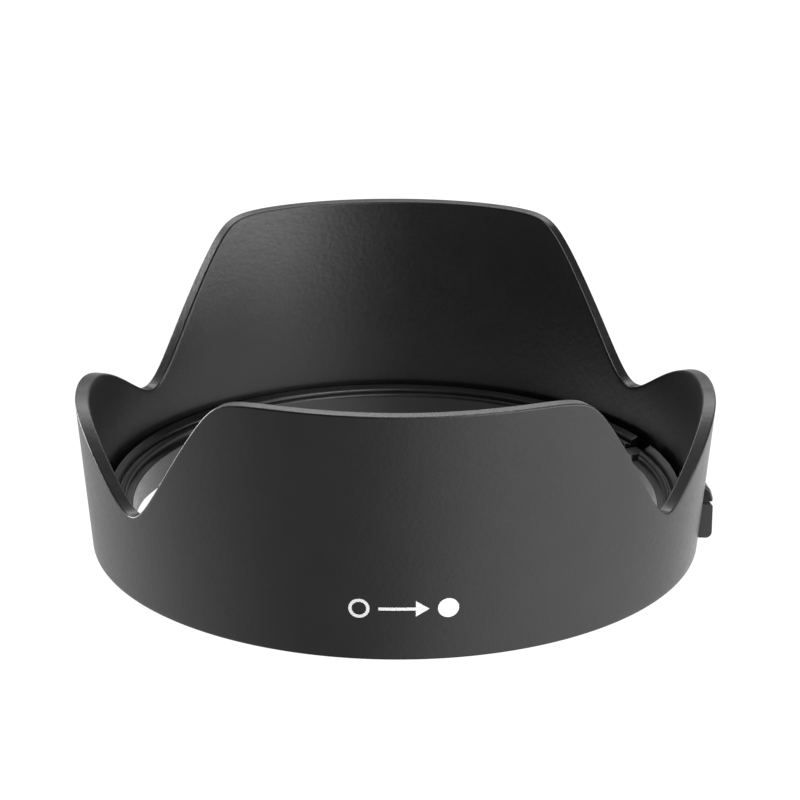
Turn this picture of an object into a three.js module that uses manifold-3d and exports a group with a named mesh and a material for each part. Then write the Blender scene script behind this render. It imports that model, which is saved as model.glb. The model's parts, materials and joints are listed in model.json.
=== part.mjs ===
// Petal lens hood with a twist-on bayonet ring and a sprung release latch.
// Millimetres. +Z points away from the lens, towards the subject. The origin is on the optical
// axis, in the plane of the mount end. The long petals are at +Y and -Y, the release button at +X.
// Angles are in degrees about +Z, from +X towards +Y.
import * as THREE from 'three';
import { mergeVertices } from 'three/addons/utils/BufferGeometryUtils.js';
import Module from 'manifold-3d';

const wasm = await Module();
wasm.setup();

// Hood shell: a cone frustum whose front edge rises and falls in four petals
const mountRadius = 49;
const taper = 0.0915;
const wallThickness = 2.2;
const footChamfer = 0.35;
const longPetalHeight = 40.3;
const longPetalHalfAngle = 32.4;
const flankSlope = 1.366;
const cornerBlend = 4.6;
const sidePetalHeight = 24.3;
const sidePetalDrop = 10.9;
const sidePetalDropAngle = 30;
const sidePetalPower = 2.42;
const notchBlend = 12.7;
const shellSteps = 240;

// Bayonet ring, fastened inside the mount end of the shell
const ringFoot = 0.3;
const boreRadius = 43.6;
const ringRadius = 46.2;
const flangeRadius = 46.5;
const flangeTop = 1.7;
const innerBand = { inner: 44.2, outer: 44.3, top: 7.8 };
const outerBand = { inner: 44.8, top: 7.95, edgeTop: 8.65 };
const bandGrooveFloor = 7.3;
const boreChamfer = 0.4;
const ringSteps = 120;

// Two lugs that turn into the groove of the lens
const lugRadius = 42.4;
const lugBottom = 1.45;
const lugTop = 6.3;
const lugRise = 0.5;
const lugSpans = [[-40, 23], [140, 203]];

// Release button: a hollow cap that stands in a window of the shell, below a fixed guard. Their flat
// outer face looks in one direction, so both stand out most at their first end.
const buttonSpan = [-6.5, 8.5];
const buttonRadius = 51.4;
const buttonFaceAngle = 8.5;
const buttonBottom = 1.1;
const buttonTop = 6.9;
const buttonSkirtRadius = 47.5;
const buttonWall = 0.8;
const buttonFace = 1;
const buttonCorner = 1.1;
const buttonRelief = 1.2;
const guardBottom = 7.5;
const guardShoulder = 8.1;
const guardTop = 10;
const guardBulge = 0.35;

// Latch lever on its pivot pin, in a pocket of the ring
const pivotAngle = 14;
const pivotRadius = 45.6;
const pinDiameter = 1;
const pinBottom = 0.6;
const pinTop = 7.8;
const pivotBossDiameter = 2.4;
const leverBottom = 2;
const leverTop = 6.6;
const leverBand = [44.95, 46];
const leverEnd = 26.3;
const toothSpan = [21.4, 25.3];
const toothRadius = 42.8;
const toothTop = 7.2;
const armReach = 8.8;
const armInner = -0.55;
const armOuter = 0.75;
const armBottom = 2.3;
const armTop = 5.7;
const carrierSpan = [2.5, 7.2];
const carrierRadius = 48.85;
const pocketRadius = 44.2;
const pocketSpan = [-10, 27];
const pocketTop = 6.9;
const skirtPocketRadius = 45.4;
const skirtPocketEnd = 11;
const skirtPocketTop = 7.25;
const slotSpan = [21, 26.5];

// Compression spring between the pocket and the button
const springAngle = -2;
const springHeight = 4;
const springInner = 44.5;
const springOuter = 49.3;
const springRadius = 1.3;
const springWire = 0.35;
const springTurns = 6;
const springStepsPerTurn = 12;
const springWireSides = 6;
const spigotRadius = 0.7;
const spigotLength = 1.4;

// Screws that hold the ring to four bosses of the shell
const screwAngles = [45, 135, 225, 315];
const screwRadius = 45.2;
const screwShank = 1;
const screwHead = 1.9;
const screwHeadHeight = 0.55;
const screwHeadBottom = 0.45;
const screwTip = 5.8;
const screwSink = 0.8;
const bossInner = 44.2;
const bossHalfAngle = 2.8;
const bossBottom = 2;
const bossTop = 6.4;
const bossPocketRadius = 43.95;

// General clearance between neighbouring pieces, and overlap of shapes that are joined
const gap = 0.3;
const runningGap = 0.25;
const overlap = 0.4;
const weldDistance = 1e-4;
const arcStep = 3;
const roundSteps = 24;

const shellPlastic = { color: 0x3a3a3b, roughness: 0.55, metalness: 0 };
const ringPlastic = { color: 0x232324, roughness: 0.5, metalness: 0 };
const buttonPlastic = { color: 0x2e2e2f, roughness: 0.45, metalness: 0 };
const acetal = { color: 0x19191a, roughness: 0.4, metalness: 0 };
const steel = { color: 0x9a9b9d, roughness: 0.35, metalness: 1 };

const radians = THREE.MathUtils.degToRad;
const degrees = THREE.MathUtils.radToDeg;
const rightAngle = 90;

function polar(radius, angle) {
  return [radius * Math.cos(radians(angle)), radius * Math.sin(radians(angle))];
}

function outerRadiusAt(height) {
  return mountRadius + taper * height;
}

function innerRadiusAt(height) {
  return outerRadiusAt(height) - wallThickness;
}

function blendedMax(a, b, blend) {
  return (a + b + Math.hypot(a - b, blend)) / 2;
}

function blendedMin(a, b, blend) {
  return (a + b - Math.hypot(a - b, blend)) / 2;
}

// Height of the front edge: long petals with straight flanks, meeting rounder side petals
function edgeHeight(angle) {
  const fromX = Math.abs(degrees(Math.asin(Math.sin(radians(angle)))));
  const fromY = rightAngle - fromX;
  const flank = longPetalHeight - flankSlope * (fromY - longPetalHalfAngle);
  const longPetal = blendedMin(longPetalHeight, flank, cornerBlend);
  const drop = sidePetalDrop * (fromX / sidePetalDropAngle) ** sidePetalPower;
  return blendedMax(longPetal, sidePetalHeight - drop, notchBlend);
}

function toSolid(geometry) {
  const bare = geometry.clone();
  bare.deleteAttribute('normal');
  bare.deleteAttribute('uv');
  const welded = mergeVertices(bare, weldDistance);
  return new wasm.Manifold(new wasm.Mesh({
    numProp: 3,
    vertProperties: new Float32Array(welded.attributes.position.array),
    triVerts: new Uint32Array(welded.index.array),
  }));
}

function toGeometry(solid) {
  const mesh = solid.getMesh();
  const geometry = new THREE.BufferGeometry();
  geometry.setAttribute('position', new THREE.BufferAttribute(mesh.vertProperties, 3));
  geometry.setIndex(new THREE.BufferAttribute(mesh.triVerts, 1));
  geometry.computeVertexNormals();
  return geometry;
}

// A closed profile of [radius, height] points, turned about the optical axis
function revolve(profile, steps) {
  const points = [...profile, profile[0]].map(([radius, height]) => new THREE.Vector2(radius, height));
  const geometry = new THREE.LatheGeometry(points, steps);
  geometry.rotateX(Math.PI / 2);
  return geometry;
}

// A block between two radii, two angles and two heights
function sector([inner, outer], [from, to], [bottom, top]) {
  const shape = new THREE.Shape();
  shape.absarc(0, 0, outer, radians(from), radians(to), false);
  shape.absarc(0, 0, inner, radians(to), radians(from), true);
  const curveSegments = Math.max(1, Math.ceil((to - from) / arcStep));
  const geometry = new THREE.ExtrudeGeometry(shape, {
    depth: top - bottom,
    bevelEnabled: false,
    curveSegments,
  });
  geometry.translate(0, 0, bottom);
  return toSolid(geometry);
}

// A round bar along the optical axis direction, centred at a radius and an angle
function bar(diameter, [radius, angle], [bottom, top]) {
  const geometry = new THREE.CylinderGeometry(diameter / 2, diameter / 2, top - bottom, roundSteps);
  geometry.rotateX(Math.PI / 2);
  const [x, y] = polar(radius, angle);
  geometry.translate(x, y, (bottom + top) / 2);
  return toSolid(geometry);
}

function piece(name, geometry, finish) {
  const mesh = new THREE.Mesh(geometry, new THREE.MeshStandardMaterial(finish));
  mesh.name = name;
  return mesh;
}

function petalWall() {
  const profile = [
    [outerRadiusAt(0) - footChamfer, 0],
    [outerRadiusAt(footChamfer), footChamfer],
    [outerRadiusAt(longPetalHeight), longPetalHeight],
    [innerRadiusAt(longPetalHeight), longPetalHeight],
    [innerRadiusAt(0), 0],
  ];
  const geometry = revolve(profile, shellSteps);
  const position = geometry.attributes.position;
  for (let i = 0; i < position.count; i += 1) {
    if (position.getZ(i) < longPetalHeight / 2) continue;
    const x = position.getX(i);
    const y = position.getY(i);
    const height = edgeHeight(degrees(Math.atan2(y, x)));
    const onOuterFace = Math.hypot(x, y) > innerRadiusAt(longPetalHeight) + wallThickness / 2;
    const radius = onOuterFace ? outerRadiusAt(height) : innerRadiusAt(height);
    const scale = radius / Math.hypot(x, y);
    position.setXYZ(i, x * scale, y * scale, height);
  }
  return toSolid(geometry);
}

// Radius of the flat outer face of the button and its guard
function faceRadiusAt(angle) {
  const distance = buttonRadius * Math.cos(radians(buttonFaceAngle - buttonSpan[0]));
  return distance / Math.cos(radians(angle - buttonFaceAngle));
}

// Draws a solid in towards the skirt, until its outermost radius follows the flat face
function lean(solid) {
  return solid.warp((point) => {
    const radius = Math.hypot(point[0], point[1]);
    const face = faceRadiusAt(degrees(Math.atan2(point[1], point[0])));
    const share = (face - buttonSkirtRadius) / (buttonRadius - buttonSkirtRadius);
    const scale = (buttonSkirtRadius + (radius - buttonSkirtRadius) * share) / radius;
    point[0] *= scale;
    point[1] *= scale;
  });
}

// Fixed nose above the button, sloping back into the shell
function guard() {
  const root = outerRadiusAt(guardTop) - overlap;
  const slopeRadius = (buttonRadius + outerRadiusAt(guardTop)) / 2 + guardBulge;
  const slopeHeight = (guardShoulder + guardTop) / 2 + guardBulge;
  const profile = [
    [root, guardBottom],
    [buttonRadius, guardBottom],
    [buttonRadius, guardShoulder],
    [slopeRadius, slopeHeight],
    [root, guardTop + overlap * (guardTop - guardShoulder) / (buttonRadius - root)],
  ];
  const whole = toSolid(revolve(profile, shellSteps));
  return lean(whole.intersect(sector([mountRadius - wallThickness, buttonRadius + gap], buttonSpan,
    [0, longPetalHeight])));
}

function screwBoss(angle) {
  const span = [angle - bossHalfAngle, angle + bossHalfAngle];
  const block = sector([bossInner, innerRadiusAt(bossBottom) + overlap], span, [bossBottom, bossTop]);
  const hole = bar(screwShank + 2 * runningGap, [screwRadius, angle],
    [bossBottom - gap, screwTip + runningGap]);
  return block.subtract(hole);
}

function hoodShell() {
  let shell = petalWall();
  const window = sector(
    [innerRadiusAt(0) - gap, outerRadiusAt(guardBottom) + gap],
    [buttonSpan[0] - buttonRelief, buttonSpan[1] + gap],
    [buttonBottom - gap, guardBottom],
  );
  shell = shell.subtract(window).add(guard());
  for (const angle of screwAngles) {
    shell = shell.add(screwBoss(angle));
  }
  return piece('hood_shell', toGeometry(shell), shellPlastic);
}

function ringBody() {
  const profile = [
    [boreRadius, ringFoot],
    [flangeRadius, ringFoot],
    [flangeRadius, flangeTop],
    [ringRadius, flangeTop],
    [ringRadius, outerBand.edgeTop],
    [outerBand.inner, outerBand.top],
    [outerBand.inner, bandGrooveFloor],
    [innerBand.outer, bandGrooveFloor],
    [innerBand.outer, innerBand.top],
    [innerBand.inner, innerBand.top],
    [boreRadius, innerBand.top - boreChamfer],
  ];
  return toSolid(revolve(profile, ringSteps));
}

function lug([from, to]) {
  const profile = [
    [lugRadius, lugBottom + lugRise],
    [lugRadius + lugRise, lugBottom],
    [boreRadius + overlap, lugBottom],
    [boreRadius + overlap, lugTop],
    [lugRadius, lugTop],
  ];
  const whole = toSolid(revolve(profile, ringSteps));
  return whole.intersect(sector([lugRadius - gap, boreRadius + 2 * overlap], [from, to],
    [0, outerBand.top]));
}

function screwSeat(angle) {
  const pocket = sector([bossPocketRadius, flangeRadius + gap],
    [angle - bossHalfAngle - gap, angle + bossHalfAngle + gap], [flangeTop, bossTop + gap]);
  const hole = bar(screwShank + 2 * runningGap, [screwRadius, angle], [0, flangeTop + gap]);
  const sink = bar(screwHead + 2 * runningGap, [screwRadius, angle],
    [0, screwHeadBottom + screwSink]);
  return pocket.add(hole).add(sink);
}

function latchPocket() {
  const pocket = sector([pocketRadius, flangeRadius + gap], pocketSpan, [flangeTop, pocketTop]);
  const skirtPocket = sector([skirtPocketRadius, flangeRadius + gap],
    [pocketSpan[0], skirtPocketEnd], [buttonBottom - gap, skirtPocketTop]);
  const slot = sector([lugRadius - gap, ringRadius + gap], slotSpan, [flangeTop, outerBand.edgeTop + gap]);
  const pinHole = bar(pinDiameter + 2 * runningGap, [pivotRadius, pivotAngle],
    [0, pinTop + runningGap]);
  return pocket.add(skirtPocket).add(slot).add(pinHole);
}

// Peg on the pocket's floor that holds the inner end of the spring
function springSpigot() {
  const length = spigotLength + overlap;
  const geometry = new THREE.CylinderGeometry(spigotRadius, spigotRadius, length, roundSteps);
  geometry.rotateZ(Math.PI / 2);
  geometry.translate(pocketRadius + spigotLength - length / 2, 0, springHeight);
  geometry.rotateZ(radians(springAngle));
  return toSolid(geometry);
}

function bayonetRing() {
  let ring = ringBody();
  for (const span of lugSpans) {
    ring = ring.add(lug(span));
  }
  for (const angle of screwAngles) {
    ring = ring.subtract(screwSeat(angle));
  }
  ring = ring.subtract(latchPocket()).add(springSpigot());
  return piece('bayonet_ring', toGeometry(ring), ringPlastic);
}

function releaseButton() {
  const bow = buttonCorner * (1 - Math.SQRT1_2);
  const profile = [
    [buttonSkirtRadius, buttonBottom],
    [buttonRadius - buttonCorner, buttonBottom],
    [buttonRadius - bow, buttonBottom + bow],
    [buttonRadius, buttonBottom + buttonCorner],
    [buttonRadius, buttonTop - gap],
    [buttonRadius - gap, buttonTop],
    [buttonSkirtRadius, buttonTop],
  ];
  const [from, to] = buttonSpan;
  const endWall = degrees(buttonWall / buttonRadius);
  const block = toSolid(revolve(profile, shellSteps)).intersect(
    sector([buttonSkirtRadius - gap, buttonRadius + gap], buttonSpan, [0, guardBottom]));
  const hollow = sector([buttonSkirtRadius - gap, buttonRadius - buttonFace],
    [from + endWall, to - endWall], [buttonBottom + buttonWall, buttonTop - buttonWall]);
  return piece('release_button', toGeometry(lean(block.subtract(hollow))), buttonPlastic);
}

// Arm from the pivot to the button, square to the radius through the pivot
function leverArm() {
  const shape = new THREE.Shape();
  shape.moveTo(pivotRadius + armInner, 0);
  shape.lineTo(pivotRadius + armInner, -armReach);
  shape.lineTo(pivotRadius + armOuter, -armReach);
  shape.lineTo(pivotRadius + armOuter, 0);
  shape.closePath();
  const geometry = new THREE.ExtrudeGeometry(shape, { depth: armTop - armBottom, bevelEnabled: false });
  geometry.translate(0, 0, armBottom);
  geometry.rotateZ(radians(pivotAngle));
  return toSolid(geometry);
}

function latchLever() {
  const heights = [leverBottom, leverTop];
  const pivot = [pivotRadius, pivotAngle];
  const boss = bar(pivotBossDiameter, pivot, heights);
  const toothArm = sector(leverBand, [pivotAngle, leverEnd], heights);
  const tooth = sector([toothRadius, leverBand[0] + overlap], toothSpan, [leverBottom, toothTop]);
  const carrier = sector([pivotRadius + armOuter, carrierRadius], carrierSpan, [armBottom, armTop]);
  const hole = bar(pinDiameter + 2 * runningGap, pivot, [0, pocketTop]);
  const lever = boss.add(toothArm).add(tooth).add(leverArm()).add(carrier).subtract(hole);
  return piece('latch_lever', toGeometry(lever), acetal);
}

function pivotPin() {
  const length = pinTop - pinBottom;
  const radius = pinDiameter / 2;
  const pin = piece('pivot_pin', new THREE.CylinderGeometry(radius, radius, length, roundSteps), steel);
  pin.rotation.x = Math.PI / 2;
  pin.position.set(...polar(pivotRadius, pivotAngle), (pinBottom + pinTop) / 2);
  return pin;
}

class Helix extends THREE.Curve {
  constructor(radius, length, turns) {
    super();
    this.radius = radius;
    this.length = length;
    this.turns = turns;
  }

  getPoint(t, target = new THREE.Vector3()) {
    const angle = 2 * Math.PI * this.turns * t;
    return target.set(this.length * t, this.radius * Math.cos(angle), this.radius * Math.sin(angle));
  }
}

function latchSpring() {
  const wire = new THREE.Shape();
  wire.absarc(0, 0, springWire / 2, 0, 2 * Math.PI, false);
  const path = new Helix(springRadius, springOuter - springInner - springWire, springTurns);
  const geometry = new THREE.ExtrudeGeometry(wire, {
    steps: springTurns * springStepsPerTurn,
    curveSegments: springWireSides,
    extrudePath: path,
  });
  const spring = piece('latch_spring', geometry, steel);
  spring.rotation.z = radians(springAngle);
  spring.position.set(...polar(springInner + springWire / 2, springAngle), springHeight);
  return spring;
}

function ringScrew(angle, index) {
  const head = bar(screwHead, [screwRadius, angle], [screwHeadBottom, screwHeadBottom + screwHeadHeight]);
  const shank = bar(screwShank, [screwRadius, angle], [screwHeadBottom, screwTip]);
  return piece(`ring_screw_${index + 1}`, toGeometry(head.add(shank)), steel);
}

const hood = new THREE.Group();
hood.add(hoodShell());
hood.add(bayonetRing());
screwAngles.forEach((angle, index) => hood.add(ringScrew(angle, index)));
hood.add(pivotPin());
hood.add(latchLever());
hood.add(releaseButton());
hood.add(latchSpring());

export default hood;
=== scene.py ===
"""Petal lens hood: fine meshes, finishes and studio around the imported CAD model.

Metres, in the CAD frame: +Z points away from the lens, and the origin is on the optical axis, in the
plane of the mount end. Angles are in degrees about +Z, from +X towards +Y.
"""
import json
import math

import bmesh
import bpy
import numpy as np
from mathutils import Matrix, Vector


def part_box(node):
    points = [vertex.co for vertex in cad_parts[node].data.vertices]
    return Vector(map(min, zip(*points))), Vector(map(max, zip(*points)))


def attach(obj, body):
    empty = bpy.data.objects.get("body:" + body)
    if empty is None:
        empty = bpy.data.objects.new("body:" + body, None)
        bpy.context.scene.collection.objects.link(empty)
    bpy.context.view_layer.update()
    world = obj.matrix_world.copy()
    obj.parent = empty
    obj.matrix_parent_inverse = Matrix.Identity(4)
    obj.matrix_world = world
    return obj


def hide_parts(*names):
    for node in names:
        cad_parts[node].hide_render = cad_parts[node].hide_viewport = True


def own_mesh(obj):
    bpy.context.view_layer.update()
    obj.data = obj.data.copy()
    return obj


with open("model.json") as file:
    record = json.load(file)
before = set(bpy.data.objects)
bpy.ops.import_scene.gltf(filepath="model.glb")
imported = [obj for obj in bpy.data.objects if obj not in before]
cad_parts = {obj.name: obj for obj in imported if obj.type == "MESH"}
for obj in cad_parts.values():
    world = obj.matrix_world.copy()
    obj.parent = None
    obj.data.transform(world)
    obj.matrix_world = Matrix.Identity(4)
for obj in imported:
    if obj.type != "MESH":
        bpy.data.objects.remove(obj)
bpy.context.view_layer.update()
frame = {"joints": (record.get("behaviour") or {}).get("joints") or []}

MM = 0.001

# Hood shell: a cone frustum whose front edge rises and falls in four petals
MOUNT_RADIUS = 49 * MM
TAPER = 0.0915
WALL = 2.2 * MM
FOOT_EDGE = 0.4 * MM
INNER_FOOT_EDGE = 0.2 * MM
LONG_PETAL_HEIGHT = 40.3 * MM
LONG_PETAL_HALF_ANGLE = 32.4
FLANK_SLOPE = 1.366 * MM
CORNER_BLEND = 4.6 * MM
SIDE_PETAL_HEIGHT = 24.3 * MM
SIDE_PETAL_DROP = 10.9 * MM
SIDE_PETAL_DROP_ANGLE = 30
SIDE_PETAL_POWER = 2.42
NOTCH_BLEND = 12.7 * MM
RIM_OUTER_EDGE = 0.3 * MM
RIM_INNER_EDGE = 0.35 * MM
WALL_ROWS = 26
COLUMN_STEP = 0.5

# Bayonet ring. Above the flange its bore is a step wider, so that the two don't share a face.
RING_LOW, RING_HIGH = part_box("bayonet_ring")
RING_FOOT = RING_LOW.z
RING_TOP = RING_HIGH.z
FLANGE_SEAM = 0.05 * MM
FLANGE_RADIUS = MOUNT_RADIUS + TAPER * RING_FOOT - WALL - FLANGE_SEAM
FLANGE_TOP = 1.7 * MM
FLANGE_EDGE = 0.25 * MM
FLANGE_BORE_EDGE = 0.1 * MM
BORE_RADIUS = 43.6 * MM
BORE_STEP = 0.01 * MM
RING_RADIUS = 46.2 * MM
OUTER_BAND_INNER = 44.8 * MM
OUTER_BAND_TOP = 7.95 * MM
INNER_BAND_OUTER = 44.3 * MM
INNER_BAND_TOP = 7.8 * MM
INNER_BAND_BORE_TOP = 7.4 * MM
BAND_GROOVE_FLOOR = 7.3 * MM
OUTER_BAND_EDGE = 0.7 * MM
OUTER_BAND_BACK_EDGE = 0.2 * MM
INNER_BAND_EDGE = 0.6 * MM
INNER_BAND_BACK_EDGE = 0.12 * MM
BAND_GROOVE_EDGE = 0.1 * MM
SLOT_EDGE = 0.12 * MM
RING_STEP = 0.75
LUG_RADIUS = 42.4 * MM
LUG_BOTTOM = 1.45 * MM
LUG_TOP = 6.3 * MM
LUG_RISE = 0.5 * MM
LUG_EDGE = 0.22 * MM
LUG_SPANS = ((-40, 20.9), (140, 203))

# Release button and the fixed guard above it. Their flat outer face looks in one direction, so both
# stand out most at their first end.
BUTTON_LOW, BUTTON_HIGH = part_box("release_button")
BUTTON_SPAN = (-6.5, 8.5)
BUTTON_RADIUS = 51.4 * MM
BUTTON_FACE_ANGLE = 8.5
BUTTON_BOTTOM = BUTTON_LOW.z
BUTTON_TOP = BUTTON_HIGH.z
BUTTON_SKIRT_RADIUS = 47.5 * MM
BUTTON_WALL = 0.8 * MM
BUTTON_FACE = 1 * MM
BUTTON_CORNER = 1.1 * MM
BUTTON_EDGE = 0.3 * MM
BUTTON_SKIRT_EDGE = 0.1 * MM
BUTTON_HOLLOW_EDGE = 0.15 * MM
BUTTON_RELIEF = 1.2
GRIP_ANGLES = (-3.4, -1.2, 1, 3.2, 5.4)
GRIP_WIDTH = 0.8 * MM
GRIP_DEPTH = 0.22 * MM
GRIP_LOW_MARGIN = 1.5 * MM
GRIP_HIGH_MARGIN = 1 * MM
GUARD_BOTTOM = 7.5 * MM
GUARD_SHOULDER = 8.1 * MM
GUARD_TOP = 10 * MM
GUARD_ROOT = 1.2 * MM
GUARD_BULGE = 0.35 * MM
GUARD_BULGE_EDGE = 0.9 * MM
GUARD_SHOULDER_EDGE = 0.35 * MM
GUARD_EDGE = 0.4 * MM
WINDOW_EDGE = 0.2 * MM
WINDOW_CORNER = 0.5 * MM
WINDOW_STEPS = 24

# Latch lever and its pivot pin
PIVOT = Vector(frame["joints"][0]["pos_m"])
PIVOT_RADIUS = PIVOT.to_2d().length
PIVOT_ANGLE = math.degrees(math.atan2(PIVOT.y, PIVOT.x))
PIN_LOW, PIN_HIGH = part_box("pivot_pin")
PIN_RADIUS = (PIN_HIGH.x - PIN_LOW.x) / 2
PIN_EDGE = 0.15 * MM
PIN_PLAY = 0.05 * MM
PIN_MOUTH = 0.1 * MM
PIVOT_BOSS_RADIUS = 1.2 * MM
LEVER_BOTTOM = 2 * MM
LEVER_TOP = 6.6 * MM
LEVER_BAND = (44.95 * MM, 46 * MM)
LEVER_END = 26.3
LEVER_EDGE = 0.15 * MM
LEVER_PLAY = 0.1 * MM
TOOTH_SPAN = (21.4, 25.3)
TOOTH_RADIUS = 42.8 * MM
TOOTH_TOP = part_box("latch_lever")[1].z
TOOTH_EDGE = 0.21 * MM
ARM_REACH = 8.8 * MM
ARM_INNER = -0.55 * MM
ARM_OUTER = 0.75 * MM
ARM_BOTTOM = 2.3 * MM
ARM_TOP = 5.7 * MM
CARRIER_SPAN = (2.5, 7.2)
CARRIER_RADIUS = 48.85 * MM
POCKET_RADIUS = 44.2 * MM
POCKET_SPAN = (-10, 27)
POCKET_TOP = 6.9 * MM
POCKET_EDGE = 0.15 * MM
SKIRT_POCKET_RADIUS = 45.4 * MM
SKIRT_POCKET_END = 11
SKIRT_POCKET_TOP = 7.25 * MM
SLOT_SPAN = (21, 26.5)

# Compression spring between the pocket and the button
SPRING_ANGLE = -2
SPRING_HEIGHT = 4 * MM
SPRING_INNER = 44.5 * MM
SPRING_OUTER = 49.3 * MM
SPRING_RADIUS = 1.3 * MM
SPRING_WIRE = 0.35 * MM
SPRING_WIRE_SIDES = 12
SPRING_END_SHARE = 0.7
SPRING_TURNS = 6
SPRING_CLOSED_TURNS = 1
SPRING_STEPS_PER_TURN = 40
SPIGOT_RADIUS = 0.7 * MM
SPIGOT_LENGTH = 1.4 * MM
SPIGOT_TIP = 0.2 * MM

# Screws that hold the ring to four bosses of the shell
SCREW_NODES = [f"ring_screw_{index}" for index in range(1, 5)]
SCREW_HEAD_RADIUS = 0.95 * MM
SCREW_HEAD_HEIGHT = 0.55 * MM
SCREW_HEAD_EDGE = 0.18 * MM
SCREW_CORE = 0.36 * MM
SCREW_THREAD = 0.5 * MM
SCREW_PITCH = 0.45 * MM
SCREW_ROWS_PER_TURN = 10
SCREW_RUN_IN_ROWS = 6
RIDGE_HALF_WIDTH = 0.22
SCREW_POINT = 0.9 * MM
SCREW_POINT_SHARE = 0.35
SCREW_SINK = 0.8 * MM
SINK_MOUTH = 0.15 * MM
HOLE_PLAY = 0.1 * MM
THREAD_PLAY = 0.05 * MM
RECESS_WIDTH = 0.3 * MM
RECESS_SPAN = 1.15 * MM
RECESS_DEPTH = 0.36 * MM
RECESS_TAPER = 0.55
RECESS_REACH = 0.05 * MM
BOSS_INNER = 44.2 * MM
BOSS_HALF_ANGLE = 2.8
BOSS_BOTTOM = 2 * MM
BOSS_TOP = 6.4 * MM
BOSS_POCKET_RADIUS = 43.95 * MM
BOSS_POCKET_EDGE = 0.12 * MM
BOSS_EDGE = 0.3 * MM

# Printed mark on the front petal
MARK_ANGLE = -90
MARK_HEIGHT = 8.8 * MM
MARK_DISC_RADIUS = 1.6 * MM
MARK_LINE = 0.5 * MM
MARK_SPACING = 6.7 * MM
ARROW_LENGTH = 7.6 * MM
ARROW_HEAD_LENGTH = 2 * MM
ARROW_HEAD_WIDTH = 2.6 * MM
ARROW_TIP_WIDTH = 0.04 * MM
DISC_END = 0.02
INK_PROUD = 0.015 * MM
INK_SUNK = 0.03 * MM

# Clearance between neighbouring pieces, overlap of shapes that are joined, reach of a cutter past a
# face, and the hair's breadth that keeps joined shapes from sharing a face
GAP = 0.3 * MM
RUNNING_GAP = 0.25 * MM
OVERLAP = 0.4 * MM
CUTTER_REACH = 0.1 * MM
HAIR = 0.03 * MM
MERGE_DISTANCE = 0.001 * MM

# Fineness and rounding of the meshes. A section's corners are rounder than its ends' edges, so that it
# can be inset by such an edge.
SHARP_ANGLE = 38
TURN_STEP = 15
ROUND_STEPS = 48
CORNER_SHARE = 1.2


# Shapes ---------------------------------------------------------------------------------------

def polar(radius, angle, height):
    turn = math.radians(angle)
    return (radius * math.cos(turn), radius * math.sin(turn), height)


def outer_radius_at(height):
    return MOUNT_RADIUS + TAPER * height


def inner_radius_at(height):
    return outer_radius_at(height) - WALL


def rounded(corners):
    """Points of a closed outline. Each corner is (x, y, radius of its rounding)."""
    outline = []
    for index, (x, y, radius) in enumerate(corners):
        here = Vector((x, y))
        if not radius:
            outline.append(here)
            continue
        back = (Vector(corners[index - 1][:2]) - here).normalized()
        ahead = (Vector(corners[(index + 1) % len(corners)][:2]) - here).normalized()
        half = back.angle(ahead) / 2
        centre = here + (back + ahead).normalized() * radius / math.sin(half)
        start = here + back * radius / math.tan(half) - centre
        turn = math.copysign(math.pi - 2 * half, ahead.cross(back))
        steps = max(2, math.ceil(abs(math.degrees(turn)) / TURN_STEP))
        outline += [centre + Matrix.Rotation(turn * k / steps, 2) @ start for k in range(steps + 1)]
    return np.array(outline)


def inset(outline, depth):
    """A counterclockwise outline moved inwards by a depth."""
    ahead = np.roll(outline, -1, axis=0) - outline
    ahead /= np.linalg.norm(ahead, axis=1)[:, None]
    inwards = np.column_stack((-ahead[:, 1], ahead[:, 0]))
    before = np.roll(inwards, 1, axis=0)
    mitre = 1 + (inwards * before).sum(axis=1)
    return outline + depth * (inwards + before) / mitre[:, None]


def end_sections(edge, steps=4):
    """(distance from the end, inset) of the sections that round off an end."""
    turns = [math.pi / 2 * k / steps for k in range(steps + 1)]
    return [(edge * (1 - math.cos(turn)), edge * (1 - math.sin(turn))) for turn in turns]


def new_object(name, vertices, faces):
    mesh = bpy.data.meshes.new(name)
    mesh.from_pydata([tuple(vertex) for vertex in vertices], [], faces)
    work = bmesh.new()
    work.from_mesh(mesh)
    bmesh.ops.recalc_face_normals(work, faces=work.faces)
    work.to_mesh(mesh)
    work.free()
    made = bpy.data.objects.new(name, mesh)
    bpy.context.scene.collection.objects.link(made)
    return made


def loft(name, sections, closed=False):
    """A closed body through sections that all have the same number of points."""
    count = len(sections[0])
    vertices = [point for section in sections for point in section]
    faces = []
    for index in range(len(sections) if closed else len(sections) - 1):
        here = index * count
        there = (index + 1) % len(sections) * count
        for k in range(count):
            ahead = (k + 1) % count
            faces.append((here + k, here + ahead, there + ahead, there + k))
    if not closed:
        last = (len(sections) - 1) * count
        faces.append(tuple(range(count)))
        faces.append(tuple(range(last, last + count)))
    return new_object(name, vertices, faces)


def swept(name, outline, span=None, edge=0.0, step=RING_STEP):
    """An outline of (radius, height) points turned about the optical axis, all round or over a span."""
    def section(angle, depth=0.0):
        points = inset(outline, depth) if depth else outline
        return [polar(radius, angle, height) for radius, height in points]

    if span is None:
        return loft(name, [section(angle) for angle in np.arange(0, 360, step)], closed=True)
    start, end = span
    to_angle = math.degrees(1 / outline[:, 0].mean())
    ends = [(along * to_angle, depth) for along, depth in end_sections(edge)] if edge else [(0, 0)]
    reach = ends[-1][0]
    count = max(1, round((end - start - 2 * reach) / step))
    middle = np.linspace(start + reach, end - reach, count + 1)[1:-1]
    sections = [section(start + along, depth) for along, depth in ends]
    sections += [section(angle) for angle in middle]
    sections += [section(end - along, depth) for along, depth in reversed(ends)]
    return loft(name, sections)


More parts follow.
